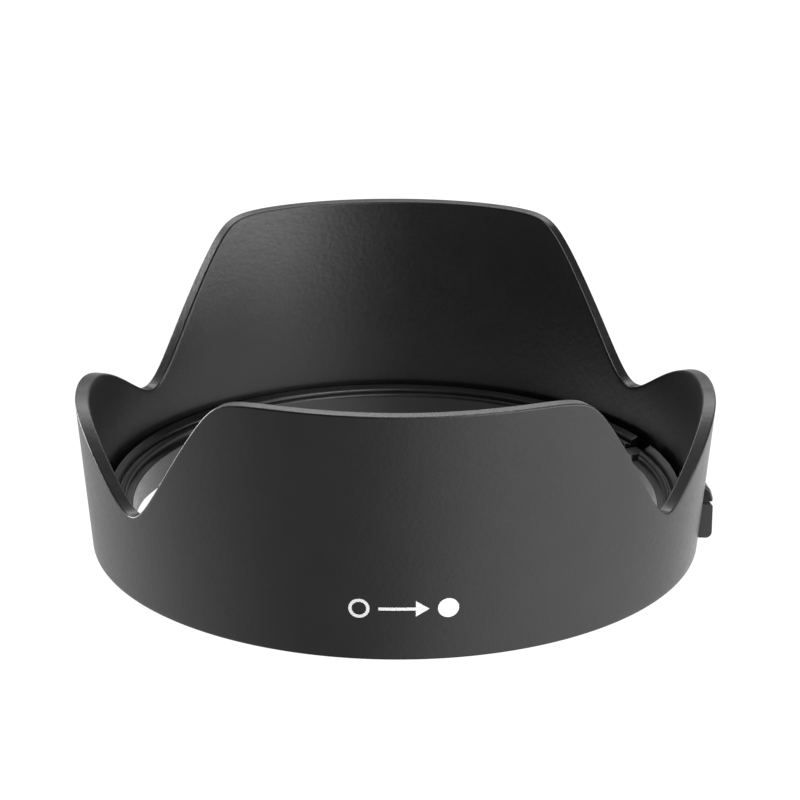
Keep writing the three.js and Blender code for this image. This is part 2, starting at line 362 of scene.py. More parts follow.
def ring_block(name, radii, span, heights, edge=0.0):
    """A block between two radii, two angles and two heights, with rounded edges."""
    (inner, outer), (bottom, top) = radii, heights
    corners = [(inner, bottom), (outer, bottom), (outer, top), (inner, top)]
    outline = rounded([(x, y, edge * CORNER_SHARE) for x, y in corners])
    return swept(name, outline, span, edge)


def extruded(name, outline, bottom, top, edge):
    """A prism along the optical axis with rounded end edges."""
    ends = end_sections(edge)
    sections = [[(x, y, bottom + along) for x, y in inset(outline, depth)] for along, depth in ends]
    sections += [[(x, y, top - along) for x, y in inset(outline, depth)] for along, depth in reversed(ends)]
    return loft(name, sections)


def turned(name, profile, place=(0, 0, 0), direction=(0, 0, 1)):
    """A round body from (radius, distance) points along a direction, closed by flat ends."""
    turn = Vector(direction).to_track_quat("Z", "Y").to_matrix().to_4x4()
    frame_matrix = Matrix.Translation(place) @ turn
    angles = [360 * k / ROUND_STEPS for k in range(ROUND_STEPS)]
    sections = [[frame_matrix @ Vector(polar(radius, angle, height)) for angle in angles]
                for radius, height in profile]
    return loft(name, sections)


def settle(body):
    """Applies the body's modifiers to its mesh."""
    graph = bpy.context.evaluated_depsgraph_get()
    mesh = bpy.data.meshes.new_from_object(body.evaluated_get(graph))
    body.modifiers.clear()
    body.data = mesh
    mesh.name = body.name


def combine(body, tool, operation):
    modifier = body.modifiers.new(operation, "BOOLEAN")
    modifier.operation = operation
    modifier.solver = "EXACT"
    modifier.object = tool
    settle(body)
    bpy.data.objects.remove(tool)


def join(body, *tools):
    for tool in tools:
        combine(body, tool, "UNION")


def cut(body, *tools):
    for tool in tools:
        combine(body, tool, "DIFFERENCE")


def finish_surface(body, material, slot, *nodes, rides="hood"):
    """Smooths the body between its sharp edges, and makes it stand for its CAD nodes."""
    mesh = body.data
    mesh.polygons.foreach_set("use_smooth", [True] * len(mesh.polygons))
    mesh.set_sharp_from_angle(angle=math.radians(SHARP_ANGLE))
    weighted = body.modifiers.new("normals", "WEIGHTED_NORMAL")
    weighted.keep_sharp = True
    settle(body)
    body.data.materials.clear()
    body.data.materials.append(material)
    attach(body, rides)
    if nodes:
        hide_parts(*nodes)
    return body


# Materials ------------------------------------------------------------------------------------

class Nodes:
    """Short names for building a material's node tree."""

    def __init__(self, name):
        self.material = bpy.data.materials.new(name)
        self.material.use_nodes = True
        self.tree = self.material.node_tree
        self.shader = self.tree.nodes["Principled BSDF"]
        self.place = self.add("ShaderNodeTexCoord").outputs["Object"]

    def add(self, kind, inputs=(), **settings):
        node = self.tree.nodes.new(kind)
        for key, value in settings.items():
            setattr(node, key, value)
        for key, value in dict(inputs).items():
            if isinstance(value, bpy.types.NodeSocket):
                self.tree.links.new(value, node.inputs[key])
            else:
                node.inputs[key].default_value = value
        return node

    def noise(self, size, detail=2.0, stretch=(1, 1, 1)):
        """Noise whose features are about one size, in metres."""
        place = self.place
        if stretch != (1, 1, 1):
            place = self.add("ShaderNodeMapping", {"Vector": place, "Scale": stretch}).outputs[0]
        inputs = {"Vector": place, "Scale": 1 / size, "Detail": detail}
        return self.add("ShaderNodeTexNoise", inputs).outputs["Fac"]

    def spread(self, value, low, high, start=0.3, end=0.7):
        inputs = {"Value": value, "From Min": start, "From Max": end, "To Min": low, "To Max": high}
        return self.add("ShaderNodeMapRange", inputs).outputs["Result"]

    def colours(self, share, first, second):
        mix = self.add("ShaderNodeMix", data_type="RGBA")
        self.tree.links.new(share, mix.inputs["Factor"])
        mix.inputs[6].default_value = (*first, 1)
        mix.inputs[7].default_value = (*second, 1)
        return mix.outputs[2]

    def bumps(self, *layers):
        """Bump from (height, depth in metres) layers, one over another."""
        normal = None
        for height, depth in layers:
            inputs = {"Height": height, "Distance": depth, "Strength": 1.0}
            if normal is not None:
                inputs["Normal"] = normal
            normal = self.add("ShaderNodeBump", inputs).outputs["Normal"]
        return normal

    def finish(self, **sockets):
        for key, value in sockets.items():
            socket = self.shader.inputs[key.replace("_", " ")]
            if isinstance(value, bpy.types.NodeSocket):
                self.tree.links.new(value, socket)
            else:
                socket.default_value = value
        return self.material


def grey(value, warmth=0.0):
    return (value * (1 + warmth), value, value * (1 - warmth))


def textured_plastic(name, dark, light, roughness, grain, depth):
    """Moulded black plastic with an eroded grain of three sizes, faint mottling and cloudy gloss."""
    nodes = Nodes(name)
    mottle = nodes.noise(6 * MM, 4)
    cloud = nodes.noise(22 * MM, 3)
    grains = nodes.noise(grain, 3)
    pits = nodes.noise(grain * 2.4, 2)
    clumps = nodes.noise(grain * 5, 3)
    base = nodes.colours(nodes.spread(mottle, 0, 1), grey(dark), grey(light))
    gloss = {0: nodes.spread(cloud, -0.025, 0.025),
             1: nodes.spread(clumps, roughness - 0.03, roughness + 0.03)}
    rough = nodes.add("ShaderNodeMath", gloss, operation="ADD").outputs[0]
    normal = nodes.bumps((clumps, depth * 2.5), (pits, depth * 0.7), (grains, depth))
    return nodes.finish(Base_Color=base, Roughness=rough, Normal=normal)


def satin_plastic(name, dark, light, roughness, depth):
    """Smoother moulded plastic with faint flow marks round the ring."""
    nodes = Nodes(name)
    flow = nodes.noise(3 * MM, 4, stretch=(1, 1, 5))
    grains = nodes.noise(0.12 * MM, 2)
    base = nodes.colours(nodes.spread(flow, 0, 1), grey(dark), grey(light))
    rough = nodes.spread(flow, roughness - 0.05, roughness + 0.05)
    return nodes.finish(Base_Color=base, Roughness=rough, Normal=nodes.bumps((grains, depth)))


def drawn_steel(name):
    """Steel with fine drawing lines and faint stains."""
    nodes = Nodes(name)
    lines = nodes.noise(0.06 * MM, 3, stretch=(1, 1, 0.15))
    stain = nodes.noise(1.2 * MM, 3)
    base = nodes.colours(nodes.spread(stain, 0, 1), grey(0.42), grey(0.55, 0.01))
    rough = nodes.spread(lines, 0.26, 0.42)
    return nodes.finish(Base_Color=base, Roughness=rough, Metallic=1.0,
                        Normal=nodes.bumps((lines, 0.003 * MM)))


def white_ink(name):
    """White printing ink that covers slightly unevenly."""
    nodes = Nodes(name)
    cover = nodes.noise(0.25 * MM, 3)
    base = nodes.colours(nodes.spread(cover, 0, 1), grey(0.74), grey(0.86, 0.005))
    return nodes.finish(Base_Color=base, Roughness=nodes.spread(cover, 0.42, 0.55),
                        Normal=nodes.bumps((cover, 0.004 * MM)))


SHELL_PLASTIC = textured_plastic("eroded_plastic", 0.004, 0.006, 0.36, 0.16 * MM, 0.012 * MM)
RING_PLASTIC = satin_plastic("satin_plastic", 0.005, 0.007, 0.36, 0.004 * MM)
BUTTON_PLASTIC = textured_plastic("fine_plastic", 0.028, 0.034, 0.38, 0.12 * MM, 0.006 * MM)
LEVER_PLASTIC = satin_plastic("acetal", 0.02, 0.026, 0.36, 0.003 * MM)
STEEL = drawn_steel("drawn_steel")
MARK_INK = white_ink("white_ink")


# Hood shell -----------------------------------------------------------------------------------

def blended_max(first, second, blend):
    return (first + second + math.hypot(first - second, blend)) / 2


def blended_min(first, second, blend):
    return (first + second - math.hypot(first - second, blend)) / 2


def edge_height(angle):
    """Height of the front edge: long petals with straight flanks, meeting rounder side petals."""
    from_x = abs(math.degrees(math.asin(math.sin(math.radians(angle)))))
    from_y = 90 - from_x
    flank = LONG_PETAL_HEIGHT - FLANK_SLOPE * (from_y - LONG_PETAL_HALF_ANGLE)
    long_petal = blended_min(LONG_PETAL_HEIGHT, flank, CORNER_BLEND)
    drop = SIDE_PETAL_DROP * (from_x / SIDE_PETAL_DROP_ANGLE) ** SIDE_PETAL_POWER
    return blended_max(long_petal, SIDE_PETAL_HEIGHT - drop, NOTCH_BLEND)


def wall_column(angle):
    """Closed loop of points round the wall's section: up the outer face, over the rim and down inside."""
    height = edge_height(angle)
    nearby = 0.1
    rise = (edge_height(angle + nearby) - edge_height(angle - nearby)) / (2 * nearby)

    def below_rim(distance, depth):
        """A point this far under the rim, square to it along the wall, and this deep in the wall."""
        radius = outer_radius_at(height) - depth
        slope = rise / (radius * math.radians(1))
        steep = math.hypot(1, slope)
        turn = math.degrees(distance * slope / steep / radius)
        return depth, angle + turn, height - distance / steep

    def face(depth, foot, top):
        """Rows between the foot and the rim's rounding."""
        _, top_angle, top_height = top
        rows = []
        for row in range(1, WALL_ROWS):
            share = row / WALL_ROWS
            rows.append((depth, angle + (top_angle - angle) * share ** 2,
                         foot + (top_height - foot) * share))
        return rows

    outer_rim = [below_rim(depth, along) for along, depth in end_sections(RIM_OUTER_EDGE)]
    inner_rim = [below_rim(depth, WALL - along)
                 for along, depth in reversed(end_sections(RIM_INNER_EDGE, 6))]
    foot = [(along, angle, depth) for along, depth in reversed(end_sections(FOOT_EDGE))]
    inner_foot = [(WALL - along, angle, depth) for along, depth in end_sections(INNER_FOOT_EDGE)]
    outer_face = face(0, FOOT_EDGE, outer_rim[0])
    inner_face = face(WALL, INNER_FOOT_EDGE, inner_rim[-1])
    loop = foot + outer_face + outer_rim + inner_rim + inner_face[::-1] + inner_foot
    return [polar(outer_radius_at(z) - depth, turn, z) for depth, turn, z in loop]


def petal_wall():
    columns = [wall_column(angle) for angle in np.arange(0, 360, COLUMN_STEP)]
    return loft("hood_shell_visual", columns, closed=True)


def face_radius_at(angle):
    """Radius of the flat outer face of the button and its guard."""
    distance = BUTTON_RADIUS * math.cos(math.radians(BUTTON_FACE_ANGLE - BUTTON_SPAN[0]))
    return distance / math.cos(math.radians(angle - BUTTON_FACE_ANGLE))


def lean(body):
    """Draws a body in towards the skirt, until its outermost radius follows the flat face."""
    for vertex in body.data.vertices:
        radius = vertex.co.to_2d().length
        face = face_radius_at(math.degrees(math.atan2(vertex.co.y, vertex.co.x)))
        share = (face - BUTTON_SKIRT_RADIUS) / (BUTTON_RADIUS - BUTTON_SKIRT_RADIUS)
        scale = (BUTTON_SKIRT_RADIUS + (radius - BUTTON_SKIRT_RADIUS) * share) / radius
        vertex.co = (vertex.co.x * scale, vertex.co.y * scale, vertex.co.z)
    return body


def guard():
    """Fixed nose above the button, sloping back into the shell."""
    root = outer_radius_at(GUARD_TOP) - GUARD_ROOT
    slope = (GUARD_TOP - GUARD_SHOULDER) / (BUTTON_RADIUS - outer_radius_at(GUARD_TOP))
    slope_radius = (BUTTON_RADIUS + outer_radius_at(GUARD_TOP)) / 2 + GUARD_BULGE
    slope_height = (GUARD_SHOULDER + GUARD_TOP) / 2 + GUARD_BULGE
    root_top = slope_height + slope * (slope_radius - root)
    outline = rounded([
        (root, GUARD_BOTTOM - GAP, 0),
        (BUTTON_RADIUS, GUARD_BOTTOM - GAP, 0),
        (BUTTON_RADIUS, GUARD_SHOULDER, GUARD_SHOULDER_EDGE),
        (slope_radius, slope_height, GUARD_BULGE_EDGE),
        (root, min(root_top, GUARD_TOP + GUARD_ROOT), 0),
    ])
    return lean(swept("guard", outline, BUTTON_SPAN, GUARD_EDGE, COLUMN_STEP))


def window_outline(radius_at, grow, top):
    """Rounded opening in the wall, seen from outside, as points round its edge."""
    from_angle = BUTTON_SPAN[0] - BUTTON_RELIEF
    to_angle = BUTTON_SPAN[1] + math.degrees(GAP / MOUNT_RADIUS)
    half = math.radians(to_angle - from_angle) / 2 * MOUNT_RADIUS + grow
    bottom = BUTTON_BOTTOM - GAP - grow
    corner = WINDOW_CORNER + grow
    span = half - corner
    steps = WINDOW_STEPS

    def round_corner(centre, start):
        turns = [math.radians(start + TURN_STEP * k) for k in range(90 // TURN_STEP + 1)]
        return [(centre + corner * math.cos(t), bottom + corner * (1 + math.sin(t))) for t in turns]

    outline = [(half * (2 * k / steps - 1), top) for k in range(steps, -1, -1)]
    outline += round_corner(-span, 180)
    outline += [(span * (2 * k / steps - 1), bottom) for k in range(1, steps)]
    outline += round_corner(span, 270)
    middle = (from_angle + to_angle) / 2
    return [polar(radius_at(z), middle + math.degrees(along / MOUNT_RADIUS), z) for along, z in outline]


def button_window():
    """Cutter for the button's window. It flares at the wall's outer face and under the guard's nose."""
    layers = [
        (lambda z: inner_radius_at(z) - GAP, 0, GUARD_BOTTOM),
        (lambda z: outer_radius_at(z) - WINDOW_EDGE, 0, GUARD_BOTTOM),
        (outer_radius_at, WINDOW_EDGE, GUARD_BOTTOM),
        (lambda z: BUTTON_RADIUS - WINDOW_EDGE, WINDOW_EDGE, GUARD_BOTTOM),
        (lambda z: BUTTON_RADIUS + GAP, WINDOW_EDGE, GUARD_BOTTOM + GAP + WINDOW_EDGE),
    ]
    return loft("window", [window_outline(*layer) for layer in layers])


def screw_places():
    """(radius, angle) of each screw, from where the CAD model has it."""
    places = []
    for node in SCREW_NODES:
        low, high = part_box(node)
        middle = (low + high) / 2
        places.append((middle.to_2d().length, math.degrees(math.atan2(middle.y, middle.x))))
    return places


def screw_boss(angle):
    """Boss inside the shell, which one screw grips."""
    root_low = inner_radius_at(BOSS_BOTTOM) + 2 * OVERLAP
    root_high = inner_radius_at(BOSS_TOP) + 2 * OVERLAP
    outline = rounded([(BOSS_INNER, BOSS_BOTTOM, BOSS_EDGE), (root_low, BOSS_BOTTOM, 0),
                       (root_high, BOSS_TOP, 0), (BOSS_INNER, BOSS_TOP, BOSS_EDGE)])
    return swept("boss", outline, (angle - BOSS_HALF_ANGLE, angle + BOSS_HALF_ANGLE), BOSS_EDGE)


def hood_shell():
    """Petal wall with its guard, button window and screw bosses."""
    shell = petal_wall()
    join(shell, guard())
    cut(shell, button_window())
    places = screw_places()
    join(shell, *[screw_boss(angle) for _, angle in places])
    hole_radius = SCREW_THREAD + THREAD_PLAY
    hole = [(hole_radius, 0), (hole_radius, BOSS_TOP - BOSS_BOTTOM)]
    for radius, angle in places:
        cut(shell, turned("hole", hole, polar(radius, angle, BOSS_BOTTOM - GAP)))
    return finish_surface(shell, SHELL_PLASTIC, "shell_plastic", "hood_shell")


# Bayonet ring ---------------------------------------------------------------------------------

def ring_wall():
    """Ring above its flange, open at the latch slot, with two ledges and the groove between them."""
    outline = rounded([
        (BORE_RADIUS + BORE_STEP, FLANGE_TOP - OVERLAP, 0),
        (RING_RADIUS, FLANGE_TOP - OVERLAP, 0),
        (RING_RADIUS, RING_TOP, OUTER_BAND_BACK_EDGE),
        (OUTER_BAND_INNER, OUTER_BAND_TOP, OUTER_BAND_EDGE),
        (OUTER_BAND_INNER, BAND_GROOVE_FLOOR, BAND_GROOVE_EDGE),
        (INNER_BAND_OUTER, BAND_GROOVE_FLOOR, BAND_GROOVE_EDGE),
        (INNER_BAND_OUTER, INNER_BAND_TOP, INNER_BAND_BACK_EDGE),
        (BORE_RADIUS + BORE_STEP, INNER_BAND_BORE_TOP, INNER_BAND_EDGE),
    ])
    return swept("bayonet_ring_visual", outline, (SLOT_SPAN[1], SLOT_SPAN[0] + 360), SLOT_EDGE)


def ring_flange():
    """Flat foot of the ring, which reaches out almost to the shell."""
    outline = rounded([
        (BORE_RADIUS, RING_FOOT, FLANGE_EDGE),
        (FLANGE_RADIUS, RING_FOOT, FLANGE_EDGE),
        (FLANGE_RADIUS, FLANGE_TOP, FLANGE_EDGE / 2),
        (BORE_RADIUS, FLANGE_TOP, FLANGE_BORE_EDGE),
    ])
    return swept("flange", outline)


def lug(span):
    """Bayonet lug that stands in from the bore, with a lead-in chamfer at its foot."""
    root = BORE_RADIUS + OVERLAP
    outline = rounded([
        (LUG_RADIUS, LUG_BOTTOM + LUG_RISE, LUG_EDGE),
        (LUG_RADIUS + LUG_RISE, LUG_BOTTOM, LUG_EDGE),
        (root, LUG_BOTTOM, 0),
        (root, LUG_TOP, 0),
        (LUG_RADIUS, LUG_TOP, LUG_EDGE),
    ])
    return swept("lug", outline, span, LUG_EDGE)


def screw_seat(radius, angle):
    """Cutters for one screw: a pocket for the boss, a through hole and a counterbore."""
    reach = BOSS_HALF_ANGLE + math.degrees(GAP / radius)
    pocket = ring_block("pocket", (BOSS_POCKET_RADIUS, FLANGE_RADIUS + GAP), (angle - reach, angle + reach),
                        (FLANGE_TOP - HAIR, BOSS_TOP + GAP), BOSS_POCKET_EDGE)
    hole_radius = SCREW_THREAD + HOLE_PLAY
    sink_radius = SCREW_HEAD_RADIUS + RUNNING_GAP
    sink_top = RING_FOOT + SCREW_SINK
    profile = [(sink_radius + SINK_MOUTH + CUTTER_REACH, RING_FOOT - CUTTER_REACH),
               (sink_radius, RING_FOOT + SINK_MOUTH), (sink_radius, sink_top),
               (hole_radius, sink_top), (hole_radius, FLANGE_TOP + GAP)]
    return pocket, turned("hole", profile, polar(radius, angle, 0))


def latch_pocket():
    """Cutters for the lever, the button's skirt and the pin."""
    outer = FLANGE_RADIUS + GAP
    pocket = ring_block("pocket", (POCKET_RADIUS, outer), POCKET_SPAN,
                        (FLANGE_TOP - HAIR, POCKET_TOP), POCKET_EDGE)
    skirt = ring_block("pocket", (SKIRT_POCKET_RADIUS, outer), (POCKET_SPAN[0], SKIRT_POCKET_END),
                       (BUTTON_BOTTOM - GAP, SKIRT_POCKET_TOP), POCKET_EDGE)
    radius = PIN_RADIUS + PIN_PLAY
    profile = [(radius + PIN_MOUTH + CUTTER_REACH, RING_FOOT - CUTTER_REACH),
               (radius, RING_FOOT + PIN_MOUTH), (radius, PIN_HIGH.z + RUNNING_GAP)]
    return pocket, skirt, turned("pin_hole", profile, (PIVOT.x, PIVOT.y, 0))


def spring_spigot():
    """Peg on the pocket's floor that holds the inner end of the spring."""
    direction = Vector(polar(1, SPRING_ANGLE, 0))
    place = direction * (POCKET_RADIUS - OVERLAP) + Vector((0, 0, SPRING_HEIGHT))
    length = SPIGOT_LENGTH + OVERLAP
    ends = end_sections(SPIGOT_TIP, 3)
    profile = [(SPIGOT_RADIUS, 0)]
    profile += [(SPIGOT_RADIUS - depth, length - along) for along, depth in reversed(ends)]
    return turned("spigot", profile, place, direction)


def bayonet_ring():
    """Ring with its lugs, latch pocket, screw seats and spring peg."""
    ring = ring_wall()
    join(ring, ring_flange(), *[lug(span) for span in LUG_SPANS])
    cut(ring, *latch_pocket())
    for radius, angle in screw_places():
        cut(ring, *screw_seat(radius, angle))
    join(ring, spring_spigot())
    return finish_surface(ring, RING_PLASTIC, "ring_plastic", "bayonet_ring")


# Release button and latch ---------------------------------------------------------------------

def grip_groove(angle):
    """Cutter for one shallow upright groove in the button's face."""
    half = GRIP_WIDTH / 2
    radius = (half ** 2 + GRIP_DEPTH ** 2) / (2 * GRIP_DEPTH)
    place = polar(face_radius_at(angle) - GRIP_DEPTH + radius, angle, 0)
    low, high = BUTTON_BOTTOM + GRIP_LOW_MARGIN, BUTTON_TOP - GRIP_HIGH_MARGIN
    tip = 0.35 * MM
    profile = [(radius - tip, low), (radius, low + tip), (radius, high - tip), (radius - tip, high)]
    return turned("groove", profile, place)


def release_button():
    """Cap with a flat, grooved outer face, hollow from the inside."""
    outline = rounded([
        (BUTTON_SKIRT_RADIUS, BUTTON_BOTTOM, BUTTON_SKIRT_EDGE),
        (BUTTON_RADIUS, BUTTON_BOTTOM, BUTTON_CORNER),
        (BUTTON_RADIUS, BUTTON_TOP, BUTTON_EDGE),
        (BUTTON_SKIRT_RADIUS, BUTTON_TOP, BUTTON_SKIRT_EDGE),
    ])
    button = swept("release_button_visual", outline, BUTTON_SPAN, BUTTON_SKIRT_EDGE, COLUMN_STEP)
    end_wall = math.degrees(BUTTON_WALL / BUTTON_RADIUS)
    hollow = ring_block("hollow", (BUTTON_SKIRT_RADIUS - GAP, BUTTON_RADIUS - BUTTON_FACE),
                        (BUTTON_SPAN[0] + end_wall, BUTTON_SPAN[1] - end_wall),
                        (BUTTON_BOTTOM + BUTTON_WALL, BUTTON_TOP - BUTTON_WALL), BUTTON_HOLLOW_EDGE)
    cut(lean(button), *[grip_groove(angle) for angle in GRIP_ANGLES], lean(hollow))
    return finish_surface(button, BUTTON_PLASTIC, "button_plastic", "release_button", rides="latch")


def lever_arm():
    """Arm from the pivot to the button, square to the radius through the pivot."""
    turn = Matrix.Rotation(math.radians(PIVOT_ANGLE), 2)
    corners = [(PIVOT_RADIUS + ARM_INNER, 0), (PIVOT_RADIUS + ARM_INNER, -ARM_REACH),
               (PIVOT_RADIUS + ARM_OUTER, -ARM_REACH), (PIVOT_RADIUS + ARM_OUTER, 0)]
    outline = rounded([(*(turn @ Vector(corner)), LEVER_EDGE * CORNER_SHARE) for corner in corners])
    return extruded("arm", outline, ARM_BOTTOM, ARM_TOP, LEVER_EDGE)


def latch_lever():
    """Boss round the pin, a band with the locking tooth, and an arm that carries the button."""
    edge = LEVER_EDGE
    boss = [(PIVOT_BOSS_RADIUS - edge, LEVER_BOTTOM), (PIVOT_BOSS_RADIUS, LEVER_BOTTOM + edge),
            (PIVOT_BOSS_RADIUS, LEVER_TOP - edge), (PIVOT_BOSS_RADIUS - edge, LEVER_TOP)]
    lever = turned("latch_lever_visual", boss, (PIVOT.x, PIVOT.y, 0))
    band = ring_block("band", LEVER_BAND, (PIVOT_ANGLE, LEVER_END),
                      (LEVER_BOTTOM + HAIR, LEVER_TOP - HAIR), edge)
    tooth = ring_block("tooth", (TOOTH_RADIUS, LEVER_BAND[0] + OVERLAP), TOOTH_SPAN,
                       (LEVER_BOTTOM + 2 * HAIR, TOOTH_TOP), TOOTH_EDGE)
    carrier_root = PIVOT_RADIUS + ARM_OUTER - OVERLAP / 2
    carrier = ring_block("carrier", (carrier_root, CARRIER_RADIUS), CARRIER_SPAN,
                         (ARM_BOTTOM + HAIR, ARM_TOP - HAIR), edge)
    join(lever, band, tooth, lever_arm(), carrier)
    hole_radius = PIN_RADIUS + LEVER_PLAY
    cut(lever, turned("hole", [(hole_radius, 0), (hole_radius, POCKET_TOP)], (PIVOT.x, PIVOT.y, 0)))
    return finish_surface(lever, LEVER_PLASTIC, "lever_plastic", "latch_lever", rides="latch")


def pivot_pin():
    """Steel pin with rounded ends."""
    ends = end_sections(PIN_EDGE)
    profile = [(PIN_RADIUS - depth, PIN_LOW.z + along) for along, depth in ends]
    profile += [(PIN_RADIUS - depth, PIN_HIGH.z - along) for along, depth in reversed(ends)]
    pin = turned("pivot_pin_visual", profile, (PIVOT.x, PIVOT.y, 0))
    return finish_surface(pin, STEEL, "steel", "pivot_pin")


def latch_spring():
    """Coil with a closed turn at each end."""
    axis = Vector(polar(1, SPRING_ANGLE, 0))
    side = Vector((0, 0, 1)).cross(axis)
    up = Vector((0, 0, 1))
    start, end = SPRING_INNER + SPRING_WIRE / 2, SPRING_OUTER - SPRING_WIRE / 2
    closed = SPRING_CLOSED_TURNS * SPRING_WIRE
    open_turns = SPRING_TURNS - 2 * SPRING_CLOSED_TURNS

    def along(turns):
        if turns <= SPRING_CLOSED_TURNS:
            return start + turns * SPRING_WIRE
        if turns >= SPRING_TURNS - SPRING_CLOSED_TURNS:
            return end - (SPRING_TURNS - turns) * SPRING_WIRE
        return start + closed + (turns - SPRING_CLOSED_TURNS) / open_turns * (end - start - 2 * closed)

    def centre(turns):
        angle = 2 * math.pi * turns
        outwards = up * math.cos(angle) + side * math.sin(angle)
        return axis * along(turns) + Vector((0, 0, SPRING_HEIGHT)) + outwards * SPRING_RADIUS, outwards

    sections = []
    steps = SPRING_TURNS * SPRING_STEPS_PER_TURN
    round_wire = [2 * math.pi * k / SPRING_WIRE_SIDES for k in range(SPRING_WIRE_SIDES)]
    for step in range(steps + 1):
        place, outwards = centre(step / SPRING_STEPS_PER_TURN)
        wire = SPRING_WIRE / 2 * (SPRING_END_SHARE if step in (0, steps) else 1)
        sections.append([place + outwards * wire * math.cos(t) + axis * wire * math.sin(t)
                         for t in round_wire])
    spring = loft("latch_spring_visual", sections)
    finish_surface(spring, STEEL, "steel", "latch_spring")
    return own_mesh(spring)


def screw_row(length, row, rows):
    """One section of the shank, whose thread runs in over the first rows and ends in a blunt point."""
    height = SCREW_HEAD_HEIGHT + (length - SCREW_HEAD_HEIGHT) * row / rows
    taper = SCREW_POINT_SHARE + (1 - SCREW_POINT_SHARE) * min(1, (length - height) / SCREW_POINT)
    thread = (SCREW_THREAD - SCREW_CORE) * min(1, row / SCREW_RUN_IN_ROWS)
    section = []
    for k in range(ROUND_STEPS):
        phase = ((height - SCREW_HEAD_HEIGHT) / SCREW_PITCH - k / ROUND_STEPS) % 1
        ridge = max(0, 1 - abs(phase - 0.5) / RIDGE_HALF_WIDTH)
        section.append(polar((SCREW_CORE + thread * ridge) * taper, 360 * k / ROUND_STEPS, height))
    return section


def cross_recess():
    """Cutter for the screwdriver's cross, which narrows with its depth."""
    half, width = RECESS_SPAN / 2, RECESS_WIDTH / 2
    corners = [Vector((half, width)), Vector((width, width)), Vector((width, half))]
    turns = [Matrix.Rotation(math.pi / 2 * k, 2) for k in range(4)]
    outline = [turn @ corner for turn in turns for corner in corners]
    return loft("recess", [[(*point, -RECESS_REACH) for point in outline],
                           [(*(point * RECESS_TAPER), RECESS_DEPTH) for point in outline]])


def ring_screw(node):
    """Pan head with a cross recess under the flange, and a cut thread."""
    low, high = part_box(node)
    place = Vector(((low.x + high.x) / 2, (low.y + high.y) / 2, low.z))
    length = high.z - low.z
    profile = [(SCREW_HEAD_RADIUS - depth, along) for along, depth in end_sections(SCREW_HEAD_EDGE)]
    profile += [(SCREW_HEAD_RADIUS, SCREW_HEAD_HEIGHT), (SCREW_CORE, SCREW_HEAD_HEIGHT)]
    sections = [[polar(radius, 360 * k / ROUND_STEPS, height) for k in range(ROUND_STEPS)]
                for radius, height in profile]
    rows = round((length - SCREW_HEAD_HEIGHT) / SCREW_PITCH * SCREW_ROWS_PER_TURN)
    sections += [screw_row(length, row, rows) for row in range(1, rows + 1)]
    screw = loft(f"{node}_visual", sections)
    cut(screw, cross_recess())
    screw.data.transform(Matrix.Translation(place))
    return finish_surface(screw, STEEL, "steel", node)


# Printed mark ---------------------------------------------------------------------------------

def inked(name, strips):
    """Thin ink over the wall from strips of (along, up) points, each strip two rows of points."""
    work = bmesh.new()

    def on_wall(point, lift):
        along, up = point
        height = MARK_HEIGHT + up
        radius = outer_radius_at(height) + lift
        return work.verts.new(polar(radius, MARK_ANGLE + math.degrees(along / radius), height))

    for low_row, high_row in strips:
        grid = [[on_wall(point, lift) for point in row]
                for row, lift in ((low_row, INK_PROUD), (high_row, INK_PROUD),
                                  (high_row, -INK_SUNK), (low_row, -INK_SUNK))]
        for k in range(len(low_row) - 1):
            for row in range(4):
                near, far = grid[row], grid[(row + 1) % 4]
                work.faces.new((near[k], near[k + 1], far[k + 1], far[k]))
        if (Vector(low_row[0]) - Vector(low_row[-1])).length > HAIR:
            for end in (0, -1):
                work.faces.new([row[end] for row in grid])
    bmesh.ops.remove_doubles(work, verts=work.verts, dist=MERGE_DISTANCE)
    bmesh.ops.recalc_face_normals(work, faces=work.faces)
    mesh = bpy.data.meshes.new(name)
    work.to_mesh(mesh)
    work.free()
    made = bpy.data.objects.new(name, mesh)
    bpy.context.scene.collection.objects.link(made)
    return finish_surface(made, MARK_INK, "mark_ink")


def ring_strip(centre, inner, outer, steps=48):
    """Two rows of points round a centre, which close on themselves."""
    turns = [2 * math.pi * k / steps for k in range(steps + 1)]
    return [[(centre + radius * math.cos(t), radius * math.sin(t)) for t in turns]
            for radius in (inner, outer)]


def disc_strip(centre, radius, steps=32):
    """Lower and upper edge of a filled disc, from one side to the other."""
    turns = [math.pi * (DISC_END + (1 - 2 * DISC_END) * k / steps) for k in range(steps + 1)]
    return [[(centre - radius * math.cos(t), side * radius * math.sin(t)) for t in turns]
            for side in (-1, 1)]


def arrow_strip(steps=20, head_steps=6):
    """Two rows of points from the tail of the arrow to its tip."""
    half = ARROW_LENGTH / 2
    neck = half - ARROW_HEAD_LENGTH
    places = [(-half + (half + neck) * k / steps, MARK_LINE / 2) for k in range(steps + 1)]
    for k in range(head_steps + 1):
        along = k / head_steps
        places.append((neck + ARROW_HEAD_LENGTH * along,
                       ARROW_HEAD_WIDTH / 2 * (1 - along) + ARROW_TIP_WIDTH / 2))
    return [[(along, -width) for along, width in places], [(along, width) for along, width in places]]


def printed_mark():
    """Open ring, arrow and filled disc: the way the hood turns from unlocked to locked."""
    inked("mark_open_ring", [ring_strip(-MARK_SPACING, MARK_DISC_RADIUS - MARK_LINE, MARK_DISC_RADIUS)])
    inked("mark_arrow", [arrow_strip()])
    inked("mark_disc", [disc_strip(MARK_SPACING, MARK_DISC_RADIUS)])


# Studio ---------------------------------------------------------------------------------------

CAMERA_TARGET = Vector((0, 0, 20.85 * MM))
CAMERA_DISTANCE = 558.6 * MM
CAMERA_AZIMUTH = -91.55
CAMERA_ELEVATION = 21.053
CAMERA_LENS = 156.3
CAMERA_ROLL = 0.22
CAMERA_SHIFT = (0.0056, 0.0165)


